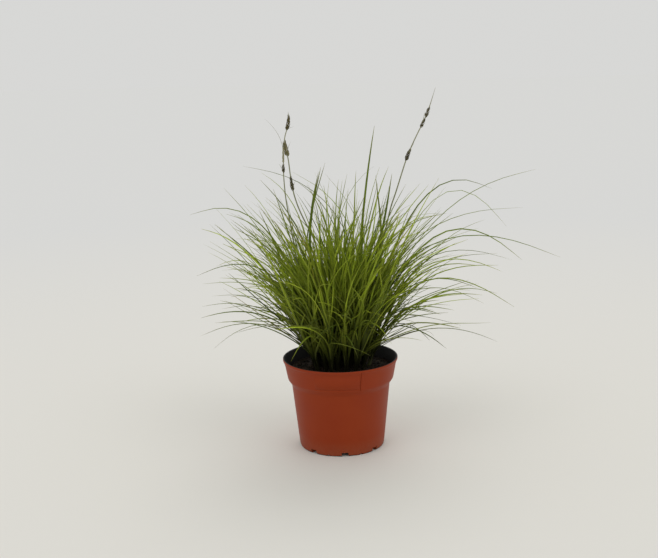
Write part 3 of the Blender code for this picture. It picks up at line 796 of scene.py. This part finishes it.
# its green, 0 dark to 1 yellowish: the weights of its beta spread, and the share an erect leaf keeps
LONG_TONES = (1.2, 2.8)
SHORT_TONES = (1.6, 1.9)
ERECT_TONE = 0.3
LEAF_SWAY = 1.2 * MM
WIDTH_SPREAD = (0.85, 1.1)

# finer leaves besides the solids' five: shorter ones that grow by the same rule, and sunken ones.
# Each is tried again until it ends inside the solids' box and under a ceiling.
INNER_LEAVES = 18
INNER_SHRINK = (0.55, 1.0)
INNER_WIDTHS = (0.7, 1.1)
INNER_SWAY = 4 * MM
INNER_HEIGHT = 260 * MM
INNER_HEIGHT_SPREAD = 13 * MM
INNER_TRIES = 30
BOX_MARGIN = 3 * MM
FINISH_SEED = 5

# how a sunken leaf grows, with ranges as for a short leaf
LOW_LEAVES = 5
LOW_SPLAY = (6, 38)
LOW_LENGTHS = (55 * MM, 165 * MM, 100 * MM)
LOW_STIFFNESS = (0.35, 0.6)
LOW_SCATTER = 45
LOW_SLOPE = 70
LOW_DROOPS = (10, 110, 55)


class Growth:
    """Points, faces and point values of the tubes that make up one growing piece."""

    def __init__(self):
        self.points, self.faces, self.finishes = [], [], []
        self.values = {"tone": [], "reach": [], "across": [], "age": []}
        self.count = 0

    def add_tube(self, rings, tone, across, age=0.0, finish=0):
        """Join equal rings, an array of (ring, corner, place), and close both ends."""
        length, size = rings.shape[:2]
        corner = np.arange(length * size).reshape(length, size) + self.count
        after = np.roll(corner, -1, axis=1)
        sides = np.stack([corner[:-1], after[:-1], after[1:], corner[1:]], -1).reshape(-1, 4)
        self.faces += sides.tolist() + [corner[0][::-1].tolist(), corner[-1].tolist()]
        self.finishes += [finish] * (len(sides) + 2)
        self.points.append(rings.reshape(-1, 3))
        self.values["tone"].append(np.full(length * size, tone))
        self.values["age"].append(np.full(length * size, age))
        self.values["reach"].append(np.repeat(np.linspace(0, 1, length), size))
        self.values["across"].append(np.tile(across, length))
        self.count += length * size

    def to_mesh(self, name):
        """The piece's mesh, smooth-shaded, with its point values as attributes."""
        mesh = bpy.data.meshes.new(name)
        mesh.from_pydata(np.vstack(self.points).tolist(), [], self.faces)
        mesh.polygons.foreach_set("material_index", self.finishes)
        for key, numbers in self.values.items():
            layer = mesh.attributes.new(key, "FLOAT", "POINT")
            layer.data.foreach_set("value", np.concatenate(numbers).astype(np.float32))
        mesh.shade_smooth()
        mesh.set_sharp_from_angle(angle=math.radians(SHARP_ANGLE))
        return mesh


def blade_width(t, slimness=SHORT_SHAPE[1]):
    """Share of the full width along a blade: a little narrow at the collar, long and fine at the tip."""
    return (0.72 + 0.28 * np.clip(t / 0.25, 0, 1)) * np.clip(1 - t ** slimness, 0, 1) ** 0.8 + 0.06


def smoothed(knots, count):
    """Evenly spaced points on the smooth curve that a chain of knots suggests."""
    for _ in range(3):
        cut = np.empty((2 * len(knots), 3))
        cut[0], cut[-1] = knots[0], knots[-1]
        cut[1:-1:2] = knots[:-1] * 0.75 + knots[1:] * 0.25
        cut[2::2] = knots[:-1] * 0.25 + knots[1:] * 0.75
        knots = cut
    steps = np.append(0, np.cumsum(np.linalg.norm(np.diff(knots, axis=0), axis=1)))
    wanted = np.linspace(0, steps[-1], count)
    return np.stack([np.interp(wanted, steps, knots[:, axis]) for axis in range(3)], 1)


def ribbon(path, flat, halves, turn, section):
    """Rings of a section along a path. flat is the level line that the blade bows over."""
    forward = np.gradient(path, axis=0)
    forward /= np.linalg.norm(forward, axis=1)[:, None]
    across = flat - forward * (forward @ flat)[:, None]
    across /= np.linalg.norm(across, axis=1)[:, None]
    inward = np.cross(forward, across)
    turn = turn[:, None]
    right = across * np.cos(turn) + inward * np.sin(turn)
    top = inward * np.cos(turn) - across * np.sin(turn)
    shape = right[:, None] * section[:, :1] + top[:, None] * section[:, 1:]
    return path[:, None] + shape * halves[:, None, None]


def add_blade(growth, frame, collar, face, bend, tip, width, tone, dice, sway, slimness=SHORT_SHAPE[1]):
    """One blade, from inside its sheath along its arch, with a slow twist and a slight sway."""
    foot, axis, u, v = frame
    root = foot + axis * 2 * MM + face * SHEATH_TOP_RADIUS * 0.55
    throat = foot + axis * SHEATH_LENGTH * 0.9 + face * SHEATH_TOP_RADIUS * 0.8
    path = smoothed(np.vstack([root, throat, arch(collar, bend, tip, 7)]), BLADE_RINGS)
    t = np.linspace(0, 1, BLADE_RINGS)
    level = unit(np.array([*(tip - collar)[:2], 0])) + face * 0.15
    flat = unit(0.35 * np.cross([0, 0, 1.0], level) + np.cross(unit(bend - collar), unit(tip - bend)))
    waves = 2 * math.pi * (dice.uniform(*SWAY_WAVES) * t + dice.random())
    path += flat * (sway * t * np.sin(waves))[:, None]
    turn = dice.uniform(-TWIST, TWIST) * np.clip(t - 0.15, 0, 1)
    rings = ribbon(path, flat, width / 2 * blade_width(t, slimness), turn, BLADE_SECTION)
    age = dice.uniform(*(OLD_DRYNESS if dice.random() < OLD_SHARE else FRESH_DRYNESS))
    growth.add_tube(rings, tone, np.abs(BLADE_SECTION[:, 0]), age)


def add_sheath(growth, frame, tone):
    """The rolled leaf bases, slightly ribbed and swollen at the foot."""
    foot, axis, u, v = frame
    heights = np.linspace(-ROOTED, SHEATH_LENGTH + 1 * MM, SHEATH_RINGS)[:, None, None]
    radii = np.linspace(SHEATH_FOOT_RADIUS, SHEATH_TOP_RADIUS, SHEATH_RINGS)[:, None, None]
    angles = np.linspace(0, 2 * math.pi, SHEATH_SIDES, endpoint=False)[:, None]
    ribs = np.where(np.arange(SHEATH_SIDES) % 3, 1, 1 - RIB_DEPTH)[:, None]
    ribbed = (np.cos(angles) * u + np.sin(angles) * v) * ribs
    growth.add_tube(foot + axis * heights + ribbed * radii, tone, np.full(SHEATH_SIDES, 0.5), 0.5)


def low_leaf(axis, collar, face, dice):
    """The bend and tip of an older leaf that has sunk outwards and crosses its neighbours."""
    splay = math.radians(dice.uniform(*LOW_SPLAY))
    rise = axis * math.cos(splay) + face * math.sin(splay)
    length = dice.triangular(*LOW_LENGTHS)
    share = dice.uniform(*LOW_STIFFNESS)
    azimuth = math.degrees(math.atan2(rise[1], rise[0])) + dice.gauss(0, LOW_SCATTER)
    bend = collar + rise * length * share
    slope = LOW_SLOPE - dice.triangular(*LOW_DROOPS)
    return bend, bend + along(azimuth, slope) * length * (1 - share)


# painted shade darkens the crowded foot, where little light comes in, and painted light brightens leaves
# above it;
# one that hangs clear of the clump gets the painted light of a higher leaf
CROWDED_FROM, CROWDED_TO = 84 * MM, 128 * MM
BRIGHTER_FROM, BRIGHTER_TO = 118 * MM, 200 * MM
CLEAR_FROM, CLEAR_TO = 45 * MM, 85 * MM
CLEAR_LIFT = 45 * MM

# a leaf is two pixels wide in the main view, so the veins have their real spacing and show from near
VEIN_SPACING = 0.194 * MM
BLOTCH_SIZE = 14.3 * MM

# a blade's waxy green skin, over a thin leaf that lets some light through. The green runs from dark to
# yellowish from leaf to leaf and the tips are dry; painted shade makes it darker and browner in the crowded
# foot, over the sheaths' own brown, and painted light makes it brighter higher up
blade, tree, out = start_material("sedge_blade")
tone_of = add_node(tree, "Attribute", attribute_name="tone").outputs["Fac"]
reach_of = add_node(tree, "Attribute", attribute_name="reach").outputs["Fac"]
across_of = add_node(tree, "Attribute", attribute_name="across").outputs["Fac"]
age_of = add_node(tree, "Attribute", attribute_name="age").outputs["Fac"]
place = add_node(tree, "TexCoord").outputs["Object"]
height = add_node(tree, "SeparateXYZ", {0: place}).outputs["Z"]
blotch = add_node(tree, "TexNoise", {"Vector": place, "Scale": 1 / BLOTCH_SIZE, "Detail": 2.0})
green = add_node(tree, "Mix", {0: tone_of, 6: "#526718", 7: "#b0bf3a"}, data_type="RGBA")
dry_tip = add_node(tree, "MapRange", {0: reach_of, 1: 0.84, 4: 0.5})
dry = add_node(tree, "Math", {0: age_of, 1: dry_tip.outputs[0]}, operation="MAXIMUM")
aged = add_node(tree, "Mix", {0: dry.outputs[0], 6: green.outputs[2], 7: "#9c9048"}, data_type="RGBA")
# the stalk colour in the crowded foot: a dark brown deepened with painted shade, and a pale green for a few
# pale stalks
pale_stalk = add_node(tree, "MapRange", {0: tone_of, 1: 0.80, 2: 0.88})
stalk = add_node(tree, "Mix", {0: pale_stalk.outputs[0], 6: "#232116", 7: "#6d6f4a"}, data_type="RGBA")
# painted shade: nearly all stalk colour at CROWDED_FROM and below, none from CROWDED_TO up
crowded = add_node(tree, "MapRange", {0: height, 1: CROWDED_FROM, 2: CROWDED_TO, 3: 0.95, 4: 0.0},
                   interpolation_type="SMOOTHSTEP")
foot_shade = add_node(tree, "Mix", {0: crowded.outputs[0], 6: aged.outputs[2], 7: stalk.outputs[2]},
                  data_type="RGBA")
veins = add_node(tree, "Math", {0: across_of, 1: math.pi * LEAF_WIDTH / VEIN_SPACING},
                 operation="MULTIPLY")
wave = add_node(tree, "Math", {0: veins.outputs[0]}, operation="SINE")
shade = add_node(tree, "MapRange", {0: wave.outputs[0], 1: -1.0, 2: 1.0, 3: 0.90, 4: 1.08})
patch = add_node(tree, "MapRange", {0: blotch.outputs["Fac"], 1: 0.3, 2: 0.7, 3: 0.86, 4: 1.14})
both = add_node(tree, "Math", {0: shade.outputs[0], 1: patch.outputs[0]}, operation="MULTIPLY")
level = add_node(tree, "VectorMath", {0: place, 1: (1, 1, 0)}, operation="MULTIPLY")
away = add_node(tree, "VectorMath", {0: level.outputs[0]}, operation="LENGTH")
clear = add_node(tree, "MapRange", {0: away.outputs["Value"], 1: CLEAR_FROM, 2: CLEAR_TO, 4: CLEAR_LIFT})
lifted = add_node(tree, "Math", {0: height, 1: clear.outputs[0]}, operation="ADD")
# painted light: leaves darker low and brighter high, by their height and their reach from the axis
brighter = add_node(tree, "MapRange", {0: lifted.outputs[0], 1: BRIGHTER_FROM, 2: BRIGHTER_TO,
                                       3: 0.68, 4: 1.42}, interpolation_type="SMOOTHSTEP")
bright = add_node(tree, "Math", {0: both.outputs[0], 1: brighter.outputs[0]}, operation="MULTIPLY")
# the colour with painted shade in the foot and painted light above, times the veins and blotches
painted_light_and_veins = add_node(tree, "VectorMath", {0: foot_shade.outputs[2], "Scale": bright.outputs[0]}, operation="SCALE")
front = add_node(tree, "BsdfPrincipled", {
    "Base Color": painted_light_and_veins.outputs[0], "Roughness": 0.45, "IOR": 1.45, "Specular IOR Level": 0.35})
glow = add_node(tree, "BsdfTranslucent", {"Color": painted_light_and_veins.outputs[0]})
mixed = add_node(tree, "MixShader", {0: 0.42, 1: front.outputs["BSDF"], 2: glow.outputs["BSDF"]})
tree.links.new(mixed.outputs[0], out.inputs["Surface"])

frames, turns, spots, leaves = grow_clump()
dice = random.Random(FINISH_SEED)
low_corner, high_corner = (np.array(corner) for corner in solid_box)
low_corner, high_corner = low_corner + BOX_MARGIN, high_corner - BOX_MARGIN
for i, shoot in enumerate(frames):
    growth = Growth()
    add_sheath(growth, shoot, dice.uniform(*SHEATH_TONES))
    for (collar, face), leaf in zip(spots[i], leaves[i]):
        if leaf is not None:
            bend, tip, taper = leaf
            is_long = taper is LEAF_TAPER
            tone = dice.betavariate(*(LONG_TONES if is_long else SHORT_TONES))
            share, slimness = LONG_SHAPE if is_long else SHORT_SHAPE
            if is_long and unit(tip - bend)[2] > ERECT:
                tone *= ERECT_TONE
                share, slimness = ERECT_SHAPE
            width = LEAF_WIDTH * share * dice.uniform(*WIDTH_SPREAD)
            add_blade(growth, shoot, collar, face, bend, tip, width, tone, dice, LEAF_SWAY, slimness)
    for n in range(INNER_LEAVES + LOW_LEAVES):
        collar, face = spots[i][dice.randrange(LEAVES_PER_SHOOT)]
        ceiling = min(dice.gauss(INNER_HEIGHT, INNER_HEIGHT_SPREAD), high_corner[2])
        for attempt in range(INNER_TRIES):
            if n < INNER_LEAVES:
                bend, tip = random_leaf(shoot[1], collar, face, dice, dice.uniform(*INNER_SHRINK))
            else:
                bend, tip = low_leaf(shoot[1], collar, face, dice)
            if (tip > low_corner).all() and (tip < [*high_corner[:2], ceiling]).all():
                break
        width = LEAF_WIDTH * dice.uniform(*INNER_WIDTHS)
        tone = dice.betavariate(*SHORT_TONES)
        add_blade(growth, shoot, collar, face, bend, tip, width, tone, dice, INNER_SWAY)
    name = f"leaves_of_shoot_{i + 1:02d}"
    piece = add_piece(name, growth.to_mesh(name), blade)
    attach(piece, "root")
    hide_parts(f"shoot_{i + 1:02d}")


# Flower stems
# Three stiff stems, three-cornered as a sedge's are. Each carries short brown spikelets, made of
# overlapping scales with a pale papery edge, above thin green bracts, and ends in a hair-fine point.
STEM_TIP_RADIUS = 0.5 * MM
STEM_RINGS = 60
STEM_POINT = 0.2

# the section of a stem, with every second point drawn in, and that of a boat-shaped scale
STEM_SECTION = np.array([(math.cos(a), math.sin(a)) for a in np.linspace(0, 2 * math.pi, 7)[:-1]])
STEM_SECTION[::2] *= 0.72
SCALE_SECTION = np.array([(1.0, 0.0), (0.55, 0.42), (0.0, 0.55), (-0.55, 0.42), (-1.0, 0.0),
                          (-0.5, 0.18), (0.5, 0.18)])
SCALES_PER_MM = 2.2
SCALE_LENGTH = 3.3 * MM
SCALE_LENGTH_SPREAD = (0.85, 1.15)
SCALE_WIDTH = 1.5 * MM
BRACT_WIDTH = 0.7 * MM
BRACT_RINGS = 10

# radii of spikelets: a usual one is brown, a slender one pale, and a wide one in between
USUAL_SPIKELET = 1.7 * MM
SLENDER_SPIKELET, SLENDER_PALENESS = 1.2 * MM, 0.9
WIDE_SPIKELET, WIDE_PALENESS = 2.2 * MM, 0.45

# bracts as (stem, height where it springs, tip), in millimetres
BRACTS = [
    ("flower_stem_right", 279, (75, 3, 296)),
    ("flower_stem_right", 309, (85, 3, 325)),
    ("flower_stem_left", 251, (-38, -2, 264)),
    ("flower_stem_left", 285, (-42, 6, 300)),
    ("flower_stem_left", 309, (-38.5, 1, 314)),
    ("flower_stem_left_short", 290, (-66, -7, 323)),
    ("flower_stem_left_short", 269, (-54, -1, 280)),
]


def point_at(path, height):
    """The place and the direction of a rising path at a height."""
    places = [np.array([np.interp(z, path[:, 2], path[:, axis]) for axis in range(3)])
              for z in (height - 1 * MM, height + 1 * MM)]
    return (places[0] + places[1]) / 2, unit(places[1] - places[0])


def add_scale(growth, base, rising, outward, length, width, tone, pale):
    """One scale of a spikelet, a small pointed boat that lies along the spikelet."""
    t = np.array([0.0, 0.25, 0.55, 0.8, 1.0])
    belly = 0.22 * length * np.sin(math.pi * t * 0.8)
    path = base + rising * (length * t)[:, None] + outward * belly[:, None]
    halves = width / 2 * np.array([0.45, 0.95, 0.9, 0.5, 0.08])
    across = np.cross(outward, rising)
    rings = ribbon(path, across, halves, np.zeros(5), SCALE_SECTION * (1, -1))
    growth.add_tube(rings, tone, np.abs(SCALE_SECTION[:, 0]), pale, 1)


def add_spikelet(growth, path, start, end, radius, dice):
    """Scales in a spiral round the stem, widest low down and closing to a point."""
    pale = 0.0
    if radius < SLENDER_SPIKELET:
        pale = SLENDER_PALENESS
    elif radius > WIDE_SPIKELET:
        pale = WIDE_PALENESS
    count = int((end - start) / MM * SCALES_PER_MM)
    turn = dice.uniform(0, 360)
    for n in range(count):
        share = (n + 0.5) / count
        centre, rising = point_at(path, start + (end - start) * share * 0.86)
        swell = radius * math.sin(math.pi * (0.15 + 0.75 * share)) ** 0.7
        side = unit(np.cross(rising, along(turn + n * GOLDEN_ANGLE, 0)))
        outward = np.cross(side, rising)
        lean = unit(rising + outward * 0.25 * (1 - share))
        size = (1 - 0.3 * share) * (radius / USUAL_SPIKELET) ** 0.7
        length = SCALE_LENGTH * size * dice.uniform(*SCALE_LENGTH_SPREAD)
        add_scale(growth, centre + outward * swell * 0.45, lean, outward, length, SCALE_WIDTH * size,
                  dice.random(), pale)


# a stem's firm green rind, greyer as it rises and faintly mottled, with painted shade making it dark in the
# crowded foot
STEM_GREEN_TO, STEM_GREY_FROM = 120 * MM, 320 * MM
STEM_DARK_FROM, STEM_DARK_TO = 80 * MM, 118 * MM
MOTTLE_SIZE = 3.85 * MM
culm, tree, out = start_material("sedge_culm")
place = add_node(tree, "TexCoord").outputs["Object"]
height = add_node(tree, "SeparateXYZ", {0: place}).outputs["Z"]
mottle = add_node(tree, "TexNoise", {"Vector": place, "Scale": 1 / MOTTLE_SIZE, "Detail": 3.0})
risen = add_node(tree, "MapRange", {0: height, 1: STEM_GREEN_TO, 2: STEM_GREY_FROM})
green = add_node(tree, "Mix", {0: risen.outputs[0], 6: "#5a6a2c", 7: "#939174"}, data_type="RGBA")
# painted shade: the rind turns near black towards the soil in the crowded foot
foot_shade = add_node(tree, "MapRange", {0: height, 1: STEM_DARK_FROM, 2: STEM_DARK_TO, 3: 0.92, 4: 0.0})
dark = add_node(tree, "Mix", {0: foot_shade.outputs[0], 6: green.outputs[2], 7: "#17150c"}, data_type="RGBA")
patch = add_node(tree, "MapRange", {0: mottle.outputs["Fac"], 1: 0.3, 2: 0.7, 3: 0.85, 4: 1.12})
mottled = add_node(tree, "VectorMath", {0: dark.outputs[2], "Scale": patch.outputs[0]}, operation="SCALE")
surface = add_node(tree, "BsdfPrincipled", {
    "Base Color": mottled.outputs[0], "Roughness": 0.5, "IOR": 1.45, "Specular IOR Level": 0.35})
tree.links.new(surface.outputs["BSDF"], out.inputs["Surface"])

# a spikelet's scales: dry, matt and brown, with a pale papery edge and a green midrib
glume, tree, out = start_material("spikelet_scales")
tone_of = add_node(tree, "Attribute", attribute_name="tone").outputs["Fac"]
across_of = add_node(tree, "Attribute", attribute_name="across").outputs["Fac"]
age_of = add_node(tree, "Attribute", attribute_name="age").outputs["Fac"]
dark = add_node(tree, "Mix", {0: tone_of, 6: "#2c2612", 7: "#5a5024"}, data_type="RGBA")
brown = add_node(tree, "Mix", {0: age_of, 6: dark.outputs[2], 7: "#a19a6c"}, data_type="RGBA")
edge = add_node(tree, "MapRange", {0: across_of, 1: 0.72, 4: 0.45})
papery = add_node(tree, "Mix", {0: edge.outputs[0], 6: brown.outputs[2], 7: "#8f7f4a"}, data_type="RGBA")
middle = add_node(tree, "MapRange", {0: across_of, 2: 0.3, 3: 0.5, 4: 0.0})
ribbed = add_node(tree, "Mix", {0: middle.outputs[0], 6: papery.outputs[2], 7: "#4f5a20"}, data_type="RGBA")
surface = add_node(tree, "BsdfPrincipled", {"Base Color": ribbed.outputs[2], "Roughness": 0.7})
tree.links.new(surface.outputs["BSDF"], out.inputs["Surface"])

for name, (route, heads) in FLOWER_STEMS.items():
    growth = Growth()
    path = smoothed(np.array(route) * MM, STEM_RINGS)
    last_head = heads[-1][1] * MM
    above = np.clip((path[:, 2] - last_head) / (path[-1, 2] - last_head), 0, 1)
    radii = np.linspace(STEM_FOOT_RADIUS, STEM_TIP_RADIUS, STEM_RINGS) * (1 - (1 - STEM_POINT) * above)
    rings = ribbon(path, np.array([0, 1.0, 0]), radii, np.zeros(STEM_RINGS), STEM_SECTION)
    growth.add_tube(rings, 0.5, np.full(len(STEM_SECTION), 0.5))
    for start, end, radius in heads:
        add_spikelet(growth, path, start * MM, end * MM, radius * MM, dice)
    for stem, height, tip in BRACTS:
        if stem == name:
            base, rising = point_at(path, height * MM)
            tip = np.array(tip) * MM
            bract = arch(base, base + rising * np.linalg.norm(tip - base) * 0.5, tip, BRACT_RINGS)
            halves = BRACT_WIDTH / 2 * blade_width(np.linspace(0, 1, BRACT_RINGS))
            flat = unit(np.cross(rising, tip - base))
            rings = ribbon(bract, flat, halves, np.zeros(BRACT_RINGS), BLADE_SECTION)
            growth.add_tube(rings, 0.6, np.abs(BLADE_SECTION[:, 0]))
    piece = add_piece(name + "_with_spikelets", growth.to_mesh(name), culm, glume)
    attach(piece, "root")
    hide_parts(name)
